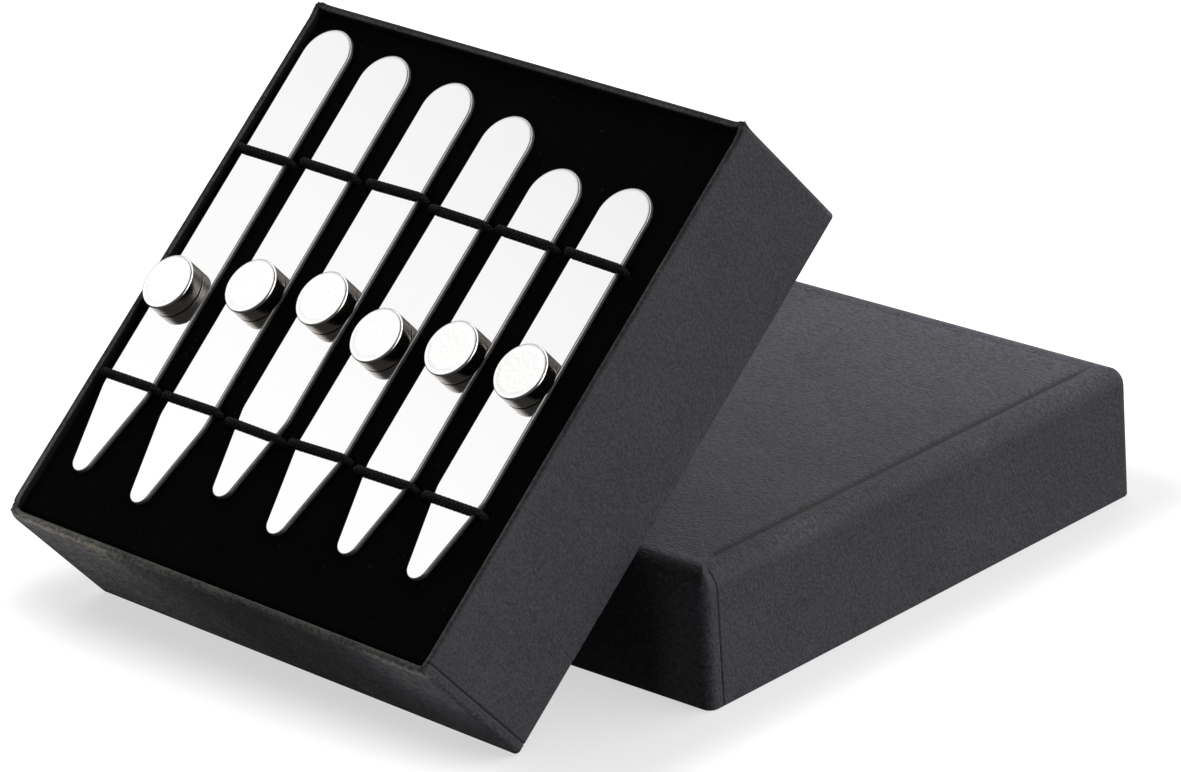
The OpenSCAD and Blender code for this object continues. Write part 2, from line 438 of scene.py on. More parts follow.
# %% Draw the tray's section
TRAY_CORNER = 0.8
TRAY_WALL = 1.0
TRAY_FLOOR = 1.6
RIM_ROUND = 0.28
RIM_STEPS = 4
FOOT_ROUND = 0.45
FOOT_STEPS = 5
BACK_INSETS = (40, 30, 15, 4, 1)
FLOOR_INSETS = (4, 40)
WALL_HEIGHTS = (1.2, 4, 8, 12, 16, 20)
RIM_DEPTHS = (2.2, 1.3, 0.7)

rim_z = TRAY_DEPTH - RIM_ROUND
near_rim_zs = [TRAY_DEPTH - depth for depth in RIM_DEPTHS]
tray_rows = [(inset, 0) for inset in BACK_INSETS]
tray_rows += round_edge(FOOT_ROUND, FOOT_ROUND, FOOT_ROUND, -90, 0, FOOT_STEPS)
tray_rows += [(0, z) for z in (*WALL_HEIGHTS, *near_rim_zs)]
tray_rows += round_edge(RIM_ROUND, rim_z, RIM_ROUND, 0, 90, RIM_STEPS)
tray_rows += round_edge(TRAY_WALL - RIM_ROUND, rim_z, RIM_ROUND, 90, 180, RIM_STEPS)
tray_rows += [(TRAY_WALL, z) for z in (*reversed(near_rim_zs), TRAY_FLOOR)]
tray_rows += [(inset, TRAY_FLOOR) for inset in FLOOR_INSETS]
print("tray section:", len(tray_rows), "rows")

# %% Fold its seams and pleats
TRAY_SEAMS = ((1, "start"), (2, "start"), (2, "end"), (3, "end"))
SEAM_DEPTH = 0.2
RIM_REACH = 1.6
CORNER_REACH = 1.8
PLEAT = 0.16
PLEAT_WAVES = 5
RIM_WANDER = 0.05
# By the corner's number: how far its fold stands up, and how far out.
KNOB_LIFT = {0: 0.10, 1: 0.45, 2: 0.15, 3: 0.0}
KNOB_PUSH = {0: 0.0, 1: 0.10, 2: 0.10, 3: -0.7}


def near_rim(z):
    return min(1, max(0, 1 - (TRAY_DEPTH - z) / RIM_REACH))


def near_corner(column):
    return max(0, 1 - corner_distance(column) / CORNER_REACH)


def corner_of(column):
    """Corners are numbered as the sides that end at them: 0 is the lower right one."""
    return (column[0] - 1) % 4 if column[1] == "start" else column[0]


def tray_shape(column, inset, z, spot):
    """Seams beside the corners, pleats on the rim's corners, and a hand-made rim."""
    push = lift = 0
    if is_seam(column, TRAY_SEAMS) and inset <= FOOT_ROUND:
        push -= SEAM_DEPTH
    folded = near_rim(z) * near_corner(column)
    if folded and inset <= TRAY_WALL:
        ridge = cos(column[2] * pi * PLEAT_WAVES) if column[1] == "corner" else ripple(spot, 3)
        crumple = ripple(Vector((spot.x, spot.y, z)), 1.7)
        push += folded * (KNOB_PUSH[corner_of(column)] + PLEAT * (ridge + crumple))
        lift += folded * (KNOB_LIFT[corner_of(column)] + PLEAT * (0.5 + ripple(spot, 2.1)))
    lift += near_rim(z) * RIM_WANDER * ripple(spot, 0.12)
    return push, lift


# %% Mark where its paper is rubbed, and where highlight and shade are painted
OUTER_FACE = 0.3
EDGE_REACH = 0.5
FRONT_LIP = 1.5
RIM_START = 0.05
UNDER_RIM = 0.5
FOLDS_ACROSS = 9
FOLDS_DOWN = 4
# The rim's inner half is worn, and it also carries a painted highlight along the inner edge.
TRAY_WORN_AND_HIGHLIT = {"rim": 0.75, "rim outside": 0.3, "foot": 0.45, "edge": 0.3, "front lip": 0.5, "front": 0.26}
# Painted shade: the paper is drawn darker under the rim, on the inner wall and in the crumples.
TRAY_SHADE_PAINTED = {"under rim": 0.35, "inside": 0.75, "crumple": 0.9}


def front_wear(column, inset, z):
    """The low front wall is greyer all over, and most of all along its lip."""
    if column[0] != 0 or inset >= OUTER_FACE:
        return 0
    return TRAY_WORN_AND_HIGHLIT["front lip" if TRAY_DEPTH - z < FRONT_LIP else "front"]


def tray_wear_and_rim_highlight(column, inset, z):
    """How rubbed the paper is on the rim, foot, upright edges and front, with a painted rim highlight.
    """
    on_rim = on_foot = on_edge = 0
    if RIM_START < inset < TRAY_WALL and TRAY_DEPTH - z < RIM_ROUND:
        on_rim = TRAY_WORN_AND_HIGHLIT["rim" if inset > TRAY_WALL / 2 else "rim outside"]
    if 0 < inset < FOOT_ROUND and z < FOOT_ROUND:
        on_foot = TRAY_WORN_AND_HIGHLIT["foot"]
    if inset < OUTER_FACE:
        on_edge = TRAY_WORN_AND_HIGHLIT["edge"] * max(0, 1 - corner_distance(column) / EDGE_REACH)
    return max(on_rim, on_foot, on_edge, front_wear(column, inset, z))


def tray_painted_darkening(column, inset, z):
    """Painted shade: the paper drawn darker in seams, under the rim, inside the tray and in crumples."""
    in_seam = float(is_seam(column, TRAY_SEAMS) and inset <= FOOT_ROUND)
    in_shade = in_crumple = 0
    if inset < OUTER_FACE and RIM_START < TRAY_DEPTH - z < UNDER_RIM and column[0] != 0:
        in_shade = TRAY_SHADE_PAINTED["under rim"]
    if inset == TRAY_WALL:
        in_shade = TRAY_SHADE_PAINTED["inside"]
    if inset <= TRAY_WALL:
        folded = TRAY_SHADE_PAINTED["crumple"] * near_rim(z) * near_corner(column)
        fold = Vector((column[2] * FOLDS_ACROSS, z * FOLDS_DOWN, column[0]))
        in_crumple = folded * (0.5 + noise.noise(fold))
    return max(in_seam, in_shade, in_crumple)


# %% Build the tray
tray_marks = {"wear_and_highlight": marked(tray_rows, tray_wear_and_rim_highlight), "painted_shade": marked(tray_rows, tray_painted_darkening)}
tray_paper = charcoal_paper("tray_paper", 0.45, 1, 0.21)
points, faces = wrapped(TRAY_SIDE, TRAY_CORNER, tray_rows, tray_shape)
tray = make_piece("tray_board", points, faces, tray_axes, tray_paper, "box_tray", tray_marks)
even_shading(tray)

# %% [markdown]
# ## The lid
# The lid lies on its open side. Its paper turns down over the walls in a soft shoulder, with a
# shallow crease beside it, deepest along the near right side of the picture, and seams run down
# beside three corners. A bevelled cube would have corners as round as soap. Here the rings shrink
# past the corner's own radius at the shoulder, so the corners close into a neat mitre, as a folded
# sheet does.

# %% Draw the lid's section
LID_CORNER = 1.6
LID_WALL = 1.4
LID_RIM_ROUND = 0.3
LID_RIM_STEPS = 4
SHOULDER = 3.2
SHOULDER_STEPS = 12
CREASE_INSET = 4.1
UNDERSIDE_INSETS = (42, 5, LID_WALL)
INSIDE_HEIGHTS = (10, 1)
OUTSIDE_HEIGHTS = (0.8, 4, 8, 12, 15, 17)
TOP_INSETS = (3.5, 3.8, CREASE_INSET, 4.4, 4.7, 5, 5.4, 6, 8, 14, 22, 32, 42)

lid_rows = [(inset, LID_HEIGHT - LID_WALL) for inset in UNDERSIDE_INSETS]
lid_rows += [(LID_WALL, z) for z in INSIDE_HEIGHTS]
lid_rows += round_edge(LID_WALL - LID_RIM_ROUND, LID_RIM_ROUND, LID_RIM_ROUND, 180, 270, LID_RIM_STEPS)
lid_rows += round_edge(LID_RIM_ROUND, LID_RIM_ROUND, LID_RIM_ROUND, -90, 0, LID_RIM_STEPS)
lid_rows += [(0, z) for z in OUTSIDE_HEIGHTS]
lid_rows += round_edge(SHOULDER, LID_HEIGHT - SHOULDER, SHOULDER, 0, 90, SHOULDER_STEPS)
lid_rows += [(inset, LID_HEIGHT) for inset in TOP_INSETS]
print("lid section:", len(lid_rows), "rows")

# %% Fold its seams and crease
LID_SEAMS = ((0, "start"), (1, "end"), (2, "end"))
LID_SEAM_DEPTH = 0.3
SEAM_FADE = 2
RIM_CLEAR = 0.1
CREASE_WIDTH = 0.8
CREASE_REACH = 0.5
# By the side's number: 0 is the near right one in the picture, and 3 lies under the tray.
CREASE_DEPTH = {0: 0.34, 1: 0.05, 2: 0.05, 3: 0.0}
TOP_SAG = 0.06


def crease_at(column, inset, z):
    """How deep the crease round the flat top is here."""
    if z < LID_HEIGHT - CREASE_REACH or column[1] == "corner":
        return 0
    fading = min(1, corner_distance(column) / NEAR_CORNER[-1])
    return fading * CREASE_DEPTH[column[0]] * exp(-((inset - CREASE_INSET) / CREASE_WIDTH) ** 2)


def lid_shape(column, inset, z, spot):
    """Seams, the crease along the top's edges, and a top that is not quite flat."""
    push = lift = 0
    if is_seam(column, LID_SEAMS) and inset <= SHOULDER and z > RIM_CLEAR:
        push -= LID_SEAM_DEPTH * min(1, max(0, (SHOULDER - inset) / SEAM_FADE))
    lift -= crease_at(column, inset, z)
    if inset > CREASE_INSET and z == LID_HEIGHT:
        lift -= TOP_SAG + TOP_SAG * ripple(spot, 0.05)
    return push, lift


# %% Mark where its paper is rubbed, and where highlight and shade are painted
LID_EDGE_REACH = 0.9
SHOULDER_END = 2.6
SHADED_SIDE = 3
# The shoulder's value is a painted highlight on its rounding, left off where the tray shades it.
LID_WORN_AND_HIGHLIT = {"foot": 0.55, "edge": 0.12, "shoulder": 0.2}
# Painted shade: the paper is drawn darker in the seams, in the crease and on the shoulder that the tray
# shades.
LID_SHADE_PAINTED = {"painted_shade": 2.1, "shoulder": 0.5}


def on_shoulder(inset, z):
    return OUTER_FACE < inset < SHOULDER_END and z > LID_HEIGHT - SHOULDER


def lid_wear_and_shoulder_highlight(column, inset, z):
    """How rubbed the paper is on the foot and upright edges, with a painted highlight on the shoulder.
    """
    on_foot = on_edge = on_round = 0
    if inset < LID_WALL and z < LID_RIM_ROUND:
        on_foot = LID_WORN_AND_HIGHLIT["foot"]
    if inset < OUTER_FACE:
        on_edge = LID_WORN_AND_HIGHLIT["edge"] * max(0, 1 - corner_distance(column) / LID_EDGE_REACH)
    # The shoulder's lighter band is a painted highlight.
    if on_shoulder(inset, z) and column[0] != SHADED_SIDE:
        on_round = LID_WORN_AND_HIGHLIT["shoulder"]
    return max(on_foot, on_edge, on_round)


def lid_painted_darkening(column, inset, z):
    """Painted shade: the paper drawn darker in seams, in the crease and on the shoulder the tray shades.
    """
    in_seam = float(is_seam(column, LID_SEAMS) and inset <= SHOULDER)
    in_shade = LID_SHADE_PAINTED["shoulder"] if on_shoulder(inset, z) and column[0] == SHADED_SIDE else 0
    return max(in_seam, LID_SHADE_PAINTED["painted_shade"] * crease_at(column, inset, z), in_shade)


# %% Build the lid
lid_marks = {"wear_and_highlight": marked(lid_rows, lid_wear_and_shoulder_highlight), "painted_shade": marked(lid_rows, lid_painted_darkening)}
lid_paper = charcoal_paper("lid_paper", 1, 0.45, 0.28)
points, faces = wrapped(LID_SIDE, LID_CORNER, lid_rows, lid_shape)
lid = make_piece("lid_board", points, faces, lid_axes, lid_paper, "box_lid", lid_marks)
even_shading(lid)

# %% [markdown]
# ## The stays
# A collar stay is stamped from sheet steel and tumbled until it shines. Its outline is a round
# head, straight sides and a taper to a small round tip. A plain extrusion would have knife edges
# that catch no light, so the outline is drawn again and again, shrunk a little each time, to round
# the edges over. Where each one lies is measured from its solid, along the tray's own axes.

# %% Measure the stays
STAY_WIDTH = 9.4
STAY_THICK = 0.8
STAY_TAPER = 14.2
STAY_TIP = 1.9
SAME_END = 0.01


def mid(numbers):
    """Halfway between the least and the greatest."""
    return (min(numbers) + max(numbers)) / 2


def lie_of(node):
    """Middle, turn and length of a stay, from its two ends."""
    flat = points_of(node, tray_axes)
    head_y = max(p.y for p in flat)
    tip_y = min(p.y for p in flat)
    head_x = mid([p.x for p in flat if p.y > head_y - SAME_END])
    tip_x = mid([p.x for p in flat if p.y < tip_y + SAME_END])
    length = hypot(head_x - tip_x, head_y - tip_y)
    turn = atan2(tip_x - head_x, head_y - tip_y)
    middle = Vector(((head_x + tip_x) / 2, (head_y + tip_y) / 2, min(p.z for p in flat)))
    return middle, turn, length


stay_lies = [lie_of("collar_stay_%d" % number) for number in range(1, 7)]
for middle, turn, length in stay_lies:
    print("stay %.1f mm long at %.1f, %.1f, turned %.1f" % (length, middle.x, middle.y, degrees(turn)))

# %% [markdown]
# ## Polished steel
# Mirror steel has hardly any colour of its own: it shows the studio. A perfect mirror would look
# drawn, so what gives it away as metal is a slight unevenness, which bends the reflections a
# little, and a haze of fine rubbing marks. The stamped side walls are duller than the faces.


# %% Polish the steel
def grey(level):
    return (level, level, level)


def polished_steel():
    finish = Finish(bpy.data.materials.new("polished_steel"))
    place = finish.place()
    rubbing = finish.grain(finish.stretched(place, 1, 0.06, 1), 5.0, 3.0)
    swell = finish.grain(place, 0.05, 1.0)
    rough = 0.045 + 0.05 * rubbing + 0.45 * finish.mark("side_wall")
    height = swell * 0.9 + rubbing * 0.01
    colour = finish.mixed(finish.mark("side_wall"), grey(0.93), grey(0.5))
    return finish.surface(Base_Color=colour, Metallic=1.0, Roughness=rough,
                          Normal=finish.bump(height, 0.1, 0.6))


# %% Draw a stay's outline
HEAD_STEPS = 48
TAPER_STEPS = 4
TIP_STEPS = 24


def stay_outline(length, inset):
    """A stay's outline about its middle, anticlockwise from the left of the tip."""
    half_width = STAY_WIDTH / 2
    tip_y = STAY_TIP - length / 2
    taper_y = STAY_TAPER - length / 2
    head_y = length / 2 - half_width
    slant = asin((half_width - STAY_TIP) / (taper_y - tip_y))
    bends = [(tip_y, STAY_TIP, pi + slant, 2 * pi - slant, TIP_STEPS),
             (taper_y, half_width, -slant, 0, TAPER_STEPS),
             (head_y, half_width, 0, pi, HEAD_STEPS),
             (taper_y, half_width, pi, pi + slant, TAPER_STEPS)]
    outline = []
    for y, radius, start, end, steps in bends:
        for k in range(steps + 1):
            angle = start + (end - start) * k / steps
            outline.append(((radius - inset) * cos(angle), y + (radius - inset) * sin(angle)))
    return outline


def layered(rings):
    """Points and faces of a closed shape from outlines stacked bottom to top: (outline, z)."""
    points = [(x, y, z) for outline, z in rings for x, y in outline]
    return points, ring_faces(len(rings), len(rings[0][0]))


# %% Build the stays
TOP_ROUND = 0.24
TOP_STEPS = 6
BOTTOM_ROUND = 0.16
BOTTOM_STEPS = 3
FLAT_INSET = 0.6
WALL_FADE = 0.2

stay_section = [(FLAT_INSET, 0)]
stay_section += round_edge(BOTTOM_ROUND, BOTTOM_ROUND, BOTTOM_ROUND, -90, 0, BOTTOM_STEPS)
stay_section += round_edge(TOP_ROUND, STAY_THICK - TOP_ROUND, TOP_ROUND, 0, 90, TOP_STEPS)
stay_section += [(FLAT_INSET, STAY_THICK)]
steel = polished_steel()
for number, (middle, turn, length) in enumerate(stay_lies, 1):
    rings = [(stay_outline(length, inset), z) for inset, z in stay_section]
    points, faces = layered(rings)
    count = len(rings[0][0])
    side_wall = [max(0, 1 - inset / WALL_FADE) for inset, z in stay_section for _ in range(count)]
    axes = tray_axes @ Matrix.Translation(middle * MM) @ Matrix.Rotation(turn, 4, "Z")
    stay = make_piece("steel_stay_%d" % number, points, faces, axes, steel,
                      "collar_stay_%d" % number, {"side_wall": side_wall})
    even_shading(stay)

# %% [markdown]
# ## The magnets
# Each magnet is a small disc with softly rounded edges and bright nickel plating. A plain cylinder
# would have sharp edges that catch no light. So circles of changing radius are stacked: the edge is
# an arc, and the face lies a hair lower than the ring round it, which draws the thin line there.


# %% Plate the magnets
NICKEL_FACE = (0.98, 0.975, 0.965)
# Painted shade: the walls are a darker copy of the same plating.
NICKEL_WALL_PAINTED_SHADE = (0.36, 0.325, 0.29)
# Painted shadow along the foot, where the disc meets the stay.
NICKEL_FOOT_PAINTED_SHADOW = (0.06, 0.05, 0.045)


def bright_nickel():
    finish = Finish(bpy.data.materials.new("bright_nickel"))
    place = finish.place()
    haze = finish.grain(place, 1.2, 3.0)
    turned = finish.grain(finish.stretched(place, 1, 1, 6), 1.5, 2.0)
    wall = finish.mark("wall")
    colour = finish.mixed(wall, NICKEL_FACE, NICKEL_WALL_PAINTED_SHADE)
    colour = finish.mixed(finish.mark("foot"), colour, NICKEL_FOOT_PAINTED_SHADOW)
    return finish.surface(Base_Color=colour, Metallic=1.0, Roughness=0.05 + 0.07 * haze + 0.12 * wall,
                          Normal=finish.bump(haze + 0.8 * turned, 0.03, 0.6))


# %% Turn the magnets
MAGNET_ROUND = 0.34
ROUND_END = 84
ROUND_STEPS = 10
MAGNET_FOOT = 0.16
MAGNET_FOOT_STEPS = 4
UNDER_INSET = 1.0
RING_INSET = 0.7
SUNK_INSET = 1.0
FACE_INSET = 1.3
FACE_DIP = 0.03
WALL_BAND = 0.01
FOOT_BAND = 0.9
DISC_STEPS = 96


def circle(radius):
    return [(radius * cos(2 * pi * k / DISC_STEPS), radius * sin(2 * pi * k / DISC_STEPS))
            for k in range(DISC_STEPS)]


def disc_section(thick):
    """Rows of a magnet's section, from its underside to its face."""
    section = [(UNDER_INSET, 0)]
    section += round_edge(MAGNET_FOOT, MAGNET_FOOT, MAGNET_FOOT, -90, 0, MAGNET_FOOT_STEPS)
    section += round_edge(MAGNET_ROUND, thick - MAGNET_ROUND, MAGNET_ROUND, 0, ROUND_END, ROUND_STEPS)
    section += [(RING_INSET, thick - FACE_DIP / 3)]
    section += [(inset, thick - FACE_DIP) for inset in (SUNK_INSET, FACE_INSET)]
    return section


nickel = bright_nickel()
for number in range(1, 7):
    low, high = measured("magnet_%d" % number, tray_axes)
    radius = (high.x - low.x) / 2
    section = disc_section(high.z - low.z)
    points, faces = layered([(circle(radius - inset), z) for inset, z in section])
    wall = [float(inset < WALL_BAND) for inset, z in section for _ in range(DISC_STEPS)]
    foot = [float(z < MAGNET_FOOT * FOOT_BAND) for inset, z in section for _ in range(DISC_STEPS)]
    axes = tray_axes @ Matrix.Translation(base_middle(low, high) * MM)
    magnet = make_piece("disc_magnet_%d" % number, points, faces, axes, nickel,
                        "magnet_%d" % number, {"wall": wall, "foot": foot})
    even_shading(magnet)

# %% [markdown]
# ## The elastic
# Each row is one round braided cord that comes up through the pad, runs over a stay and goes down
# again. Six fine yarns wind one way and six the other, each passing over and under the rest. Such
# a cord can be faked with a striped tube, but the braid shows at its edge, so every yarn is swept
# along its own winding path. The crossings are found in the row's solid.

# %% Find where each row crosses the stays
CORD_RADIUS = 0.58
CLEAR_OF_PAD = 0.2
PAD_TOP = measured("velvet_pad", tray_axes)[1].z


def crossings_of(node):
    """The two legs of the cord at each stay, and the heights of its runs over and under."""
    flat = points_of(node, tray_axes)
    groups = [[] for _ in stay_lies]
    for p in flat:
        if p.z > PAD_TOP + CLEAR_OF_PAD:
            nearest = min(range(len(stay_lies)), key=lambda i: abs(stay_lies[i][0].x - p.x))
            groups[nearest].append(p)
    legs = []
    for group in groups:
        left = min(p.x for p in group)
        right = max(p.x for p in group)
        left_y = mid([p.y for p in group if p.x < left + CORD_RADIUS])
        right_y = mid([p.y for p in group if p.x > right - CORD_RADIUS])
        legs.append(((left + CORD_RADIUS, left_y), (right - CORD_RADIUS, right_y)))
    return legs, max(p.z for p in flat) - CORD_RADIUS, min(p.z for p in flat) + CORD_RADIUS


rows = {name: crossings_of(name) for name in ("elastic_upper", "elastic_lower")}
for name, (legs, over, under) in rows.items():
    print(name, len(legs), "crossings, from %.2f down to %.2f" % (over, under))

# %% Lay a cord's route
BEND_OVER = 0.75
BEND_UNDER = 0.9
BEND_STEPS = 8
STEP = 0.14


def rounded_route(corners):
    """Points along a route, with every corner turned on an arc."""
    route = [corners[0]]
    for before, corner, after in zip(corners, corners[1:], corners[2:]):
        radius = BEND_OVER if corner.z > PAD_TOP else BEND_UNDER
        u = (before - corner).normalized()
        v = (after - corner).normalized()
        opening = u.angle(v)
        middle = corner + (u + v).normalized() * radius / sin(opening / 2)
        start = corner + u * radius / tan(opening / 2) - middle
        for k in range(BEND_STEPS + 1):
            turn = (pi - opening) * k / BEND_STEPS
            route.append(middle + start * cos(turn) - u * radius * sin(turn))
    route.append(corners[-1])
    return route


def evenly(route, step):
    """The same route with a point at every step along it."""
    even = [route[0]]
    left = step
    for a, b in zip(route, route[1:]):
        gap = (b - a).length
        done = 0
        while gap - done >= left:
            done += left
            even.append(a.lerp(b, done / gap))
            left = step
        left -= gap - done
    return even


# %% Braid the cord
CORE = 0.42
CORE_SIDES = 12
YARNS = 6
LAY = 5.2
YARN_WIDTH = 0.19
YARN_THICK = 0.085
YARN_SIDES = 6
YARN_SHADES = (0.25, 0.625, 1.0)
WEAVE = 0.8


def tube(centres, ups, outs, width, thick, sides):
    """Points and faces of a closed tube with an oval section."""
    points = []
    for centre, up, out in zip(centres, ups, outs):
        for k in range(sides):
            angle = 2 * pi * k / sides
            points.append(centre + up * thick * cos(angle) + out * width * sin(angle))
    faces = []
    for ring in range(len(centres) - 1):
        near = ring * sides
        far = near + sides
        for k in range(sides):
            after = (k + 1) % sides
            faces.append((near + k, far + k, far + after, near + after))
    faces.append(tuple(range(sides)))
    faces.append(tuple(reversed(range(len(points) - sides, len(points)))))
    return points, faces


def wound_yarn(route, sideways, outwards, hand, yarn):
    """One yarn of the braid: its middle line, and its directions out of the cord and round it."""
    middle_radius = CORD_RADIUS - 2 * YARN_THICK
    centres = []
    ups = []
    outs = []
    for i, (spot, s, o) in enumerate(zip(route, sideways, outwards)):
        wound = 2 * pi * i * STEP / LAY
        angle = hand * wound + 2 * pi * yarn / YARNS
        up = s * cos(angle) + o * sin(angle)
        weave = hand * YARN_THICK * cos(YARNS * wound)
        centres.append(spot + up * (middle_radius + YARN_THICK * 0.5 + weave * WEAVE))
        ups.append(up)
        outs.append(o * cos(angle) - s * sin(angle))
    return centres, ups, outs


def braided(route):
    """A core and twice six yarns, as one mesh, with a mark that tells the yarns apart."""
    along = [(b - a).normalized() for a, b in zip(route, route[1:])]
    along.append(along[-1])
    sideways = [Vector((0, 1, 0)).cross(t).normalized() for t in along]
    outwards = [t.cross(s) for t, s in zip(along, sideways)]
    points, faces = tube(route, sideways, outwards, CORE, CORE, CORE_SIDES)
    marks = [0.0] * len(points)
    for hand in (1, -1):
        for yarn in range(YARNS):
            centres, ups, outs = wound_yarn(route, sideways, outwards, hand, yarn)
            more, more_faces = tube(centres, ups, outs, YARN_WIDTH, YARN_THICK, YARN_SIDES)
            base = len(points)
            points += more
            faces += [tuple(base + k for k in face) for face in more_faces]
            marks += [YARN_SHADES[yarn % 3]] * len(more)
    return points, faces, marks


# %% [markdown]
# ## Elastic yarn
# The yarn is matt and slightly fuzzy, a brown black that differs a little from yarn to yarn. Each
# shade could be a material of its own, but one material that reads a mark on the mesh is simpler.


# %% Dye the elastic
YARN_DARK = (0.0035, 0.003, 0.0026)
YARN_LIGHT = (0.018, 0.015, 0.013)


def elastic_yarn():
    finish = Finish(bpy.data.materials.new("elastic_yarn"))
    fuzz = finish.grain(finish.place(), 9.0, 3.0)
    shade = finish.mark("yarn") * 0.7 + fuzz * 0.5
    colour = finish.mixed(finish.ramp(shade, 0.2, 1.1), YARN_DARK, YARN_LIGHT)
    return finish.surface(Base_Color=colour, Roughness=0.6 + 0.3 * fuzz,
                          Normal=finish.bump(fuzz, 0.05, 0.5), Sheen_Weight=0.03, Sheen_Roughness=0.5,
                          Specular_IOR_Level=0.25)


# %% Make both rows
yarn_finish = elastic_yarn()
for name, (legs, over, under) in rows.items():
    corners = []
    for (left_x, left_y), (right_x, right_y) in legs:
        corners += [Vector((left_x, left_y, under)), Vector((left_x, left_y, over)),
                    Vector((right_x, right_y, over)), Vector((right_x, right_y, under))]
    route = evenly(rounded_route(corners), STEP)
    points, faces, marks = braided(route)
    make_piece("braided_" + name, points, faces, tray_axes, yarn_finish, name,
               {"yarn": marks})
    print(name, "is %.0f mm of cord" % (len(route) * STEP))

# %% [markdown]
# ## The velvet pad
# The pad is foam under black velvet. Its face is nearly flat: it rolls down at the tray's walls,
# is pressed flat under the stays, and is drawn in where the cord goes through. It could be dropped
# as a cloth, but velvet that is glued on foam neither hangs nor slides. So a fine grid is bent by
# those three rules, and a little noise gives the pile its uneven lie.

# %% Find how far a point lies under a stay
import numpy as np


def inside_stay(x, y, lie):
    """How far a point lies inside a stay's outline, in millimetres, and below 0 outside it."""
    middle, turn, length = lie
    u = (x - middle.x) * cos(turn) + (y - middle.y) * sin(turn)
    v = (y - middle.y) * cos(turn) - (x - middle.x) * sin(turn)
    half_width = STAY_WIDTH / 2
    head = half_width - np.hypot(u, v - (length / 2 - half_width))
    straight = half_width - np.abs(u)
    slope = (half_width - STAY_TIP) / (STAY_TAPER - STAY_TIP)
    taper = STAY_TIP + (v + length / 2 - STAY_TIP) * slope - np.abs(u)
    body = np.minimum(straight, taper)
    body = np.where(v > length / 2 - half_width, head, body)
    return np.where(v < -length / 2 + STAY_TIP, STAY_TIP - np.hypot(u, v + length / 2 - STAY_TIP), body)


def smooth_step(value, low, high):
    t = np.clip((value - low) / (high - low), 0, 1)
    return t * t * (3 - 2 * t)


# %% Bend the velvet's face
GRID = 196
PILE = 0.05
PRESSED = 0.02
PILE_EDGE = 0.5
LUMPS_PER_MM = 1.3
TUFTS_PER_MM = 3.1
EDGE_ROLL = 0.45
HOLE_DEPTH = 2.4
HOLE_RADIUS = 0.95
HOLE_BOTTOM = 0.4

pad_low, pad_high = measured("velvet_pad", tray_axes)
xs = np.linspace(pad_low.x, pad_high.x, GRID)
ys = np.linspace(pad_low.y, pad_high.y, GRID)
grid_x, grid_y = np.meshgrid(xs, ys)


def pile_at(x, y):
    """How the pile stands: soft lumps with smaller tufts on them."""
    lumps = noise.noise(Vector((x * LUMPS_PER_MM, y * LUMPS_PER_MM, 0)))
    return lumps + 0.6 * noise.noise(Vector((x, y, 5)) * TUFTS_PER_MM)


under_stays = np.max([inside_stay(grid_x, grid_y, lie) for lie in stay_lies], axis=0)
pile = np.array([[pile_at(x, y) for x in xs] for y in ys])
height = PAD_TOP - PRESSED + PILE * (0.4 + 0.6 * pile) * smooth_step(-under_stays, 0.0, PILE_EDGE)
edge = np.minimum(np.minimum(grid_x - pad_low.x, pad_high.x - grid_x),
                  np.minimum(grid_y - pad_low.y, pad_high.y - grid_y))
short = np.clip(1 - edge / EDGE_ROLL, 0, 1)
height -= EDGE_ROLL * (1 - np.sqrt(1 - short ** 2))
for legs, over, under in rows.values():
    for x, y in (leg for pair in legs for leg in pair):
        from_hole = np.hypot(grid_x - x, grid_y - y)
        height -= HOLE_DEPTH * smooth_step(-from_hole, -HOLE_RADIUS, -HOLE_BOTTOM)
print("velvet: %.2f mm from its lowest dip to its highest tuft" % (height.max() - height.min()))

# %% Close the pad below its face
last = GRID - 1
points = list(zip(grid_x.ravel(), grid_y.ravel(), height.ravel()))
faces = [(r * GRID + c, r * GRID + c + 1, (r + 1) * GRID + c + 1, (r + 1) * GRID + c)
         for r in range(last) for c in range(last)]
border = list(range(GRID))
border += [r * GRID + last for r in range(1, GRID)]
border += [last * GRID + c for c in range(last - 1, -1, -1)]
border += [r * GRID for r in range(last - 1, 0, -1)]
foot = len(points)
points += [(points[k][0], points[k][1], pad_low.z) for k in border]
count = len(border)
faces += [(border[k], foot + k, foot + (k + 1) % count, border[(k + 1) % count]) for k in range(count)]
faces.append(tuple(foot + k for k in reversed(range(count))))

# %% [markdown]
# ## Black velvet
# Velvet is the blackest thing here, since its pile swallows light and only the tips glint at a low
# angle. Hairs could be grown on the pad, but in this black they would not show. A near-black base
# with a faint sheen does the same, and a few specks of lint keep it honest.


# %% Dye the velvet
def black_velvet():
    finish = Finish(bpy.data.materials.new("black_velvet"))
    place = finish.place()
    tufts = finish.grain(place, 4.5, 3.0, 0.7)
    brushed = finish.grain(place, 0.12, 2.0)
    specks = finish.ramp(finish.grain(place, 1.6, 1.0, 0.9), 0.74, 0.79)
    shade = finish.ramp(tufts * 0.7 + brushed * 0.3, 0.35, 0.7)
    colour = finish.mixed(specks, finish.mixed(shade, grey(0.0012), grey(0.0036)), grey(0.03))
    return finish.surface(Base_Color=colour, Roughness=0.95, Specular_IOR_Level=0.04,
                          Normal=finish.bump(tufts, 0.12, 0.9), Sheen_Weight=0.008, Sheen_Roughness=0.4)


# %% Lay the pad
velvet = make_piece("velvet_cushion", points, faces, tray_axes, black_velvet(), "velvet_pad")

# %% [markdown]
# ## The studio
# The object stands on a white light table in a dim room, between three soft panels of light. Lamps
# could do the same, but a sky that is worked out from its own direction gives softer light with
# less noise. Mirror steel shows the room directly: the stays reflect the panel behind the tray, so
# they are white, and the magnets' walls reflect the dark side where the camera is.

